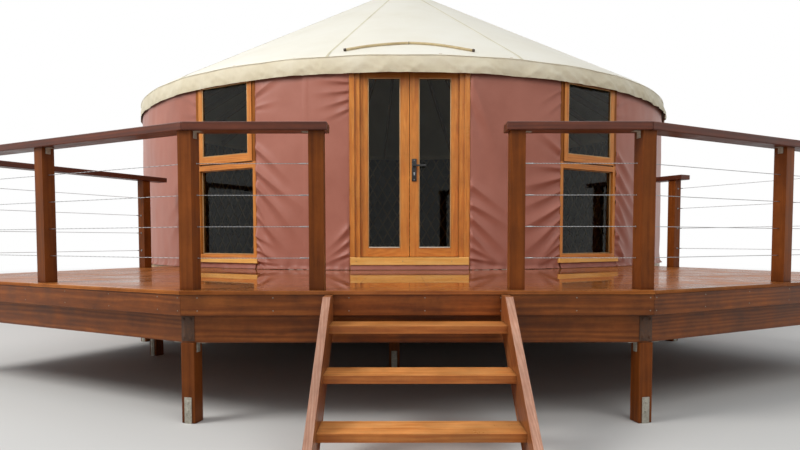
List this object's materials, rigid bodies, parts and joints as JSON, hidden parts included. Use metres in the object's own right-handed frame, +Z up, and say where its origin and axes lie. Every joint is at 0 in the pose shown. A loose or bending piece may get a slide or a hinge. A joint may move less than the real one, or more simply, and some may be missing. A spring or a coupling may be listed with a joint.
{
  "type": "yurt on a raised deck",
  "caption": "Round fabric yurt with a conical roof, glazed double door and tall windows, on a raised timber deck with cable railings and an open stair.",
  "frame": {"origin": "on the ground under the centre of the yurt, at the foot of its middle post", "axes": "+Z up, -Y out of the door and down the stair, +X to the right of someone who faces the door"},
  "size_m": [8.027, 11.261, 4.9844],
  "materials": {
    "floor_timber": "satin",
    "frame_timber": "sawn",
    "deck_timber": "oiled",
    "tread_timber": "oiled",
    "joinery_timber": "varnished",
    "lath_timber": "planed",
    "wall_fabric": "satin coated",
    "roof_fabric": "matt coated",
    "clear_acrylic": "clear",
    "glass": "clear",
    "galvanised_steel": "galvanised",
    "cable_steel": "bright",
    "black_metal": "satin black"
  },
  "bodies": {
    "yurt": {"yurt_floor": "floor_timber", "floor_joists": "frame_timber", "floor_bearers": "frame_timber", "floor_posts": "frame_timber", "deck_boards": "deck_timber", "deck_joists": "frame_timber", "deck_fascia": "deck_timber", "deck_bearers": "deck_timber", "deck_posts": "deck_timber", "post_straps": "galvanised_steel", "bearer_brackets": "galvanised_steel", "railing_posts": "deck_timber", "top_rails": "deck_timber", "railing_cables": "cable_steel", "rail_brackets": "galvanised_steel", "stair_stringers": "deck_timber", "stair_treads": "tread_timber", "cover_front_left": "wall_fabric", "cover_front_right": "wall_fabric", "cover_left": "wall_fabric", "cover_right": "wall_fabric", "cover_back": "wall_fabric", "lattice_front": "lath_timber", "lattice_left": "lath_timber", "lattice_right": "lath_timber", "lattice_back": "lath_timber", "wall_cable": "cable_steel", "rafters": "lath_timber", "crown_ring": "lath_timber", "crown_dome": "clear_acrylic", "roof_cover": "roof_fabric", "rain_batten": "roof_fabric", "door_frame": "joinery_timber", "door_hinges": "galvanised_steel", "window_frames_front": "joinery_timber", "window_frames_back": "joinery_timber", "window_sashes": "joinery_timber", "window_glass": "glass"},
    "leaf_left": {"door_leaf_left": "joinery_timber", "door_glass_left": "glass"},
    "leaf_right": {"door_leaf_right": "joinery_timber", "door_glass_right": "glass", "door_plates": "black_metal"},
    "lever": {"door_lever": "black_metal"}
  },
  "joints": [
    {"name": "left_leaf_hinge", "type": "hinge", "parent": "yurt", "child": "leaf_left", "pos_m": [-0.44333, -3.65199, 0.94], "axis": [0, 0, 1], "range_deg": [0, 95]},
    {"name": "right_leaf_hinge", "type": "hinge", "parent": "yurt", "child": "leaf_right", "pos_m": [0.57051, -3.6343, 0.94], "axis": [0, 0, -1], "range_deg": [0, 95]},
    {"name": "lever_turn", "type": "hinge", "parent": "leaf_right", "child": "lever", "pos_m": [0.11056, -3.66963, 1.85], "axis": [-0.0175, 0.9998, 0], "range_deg": [0, 40], "stiffness_Nm_per_rad": 1.5, "springref_deg": -20.05}
  ]
}
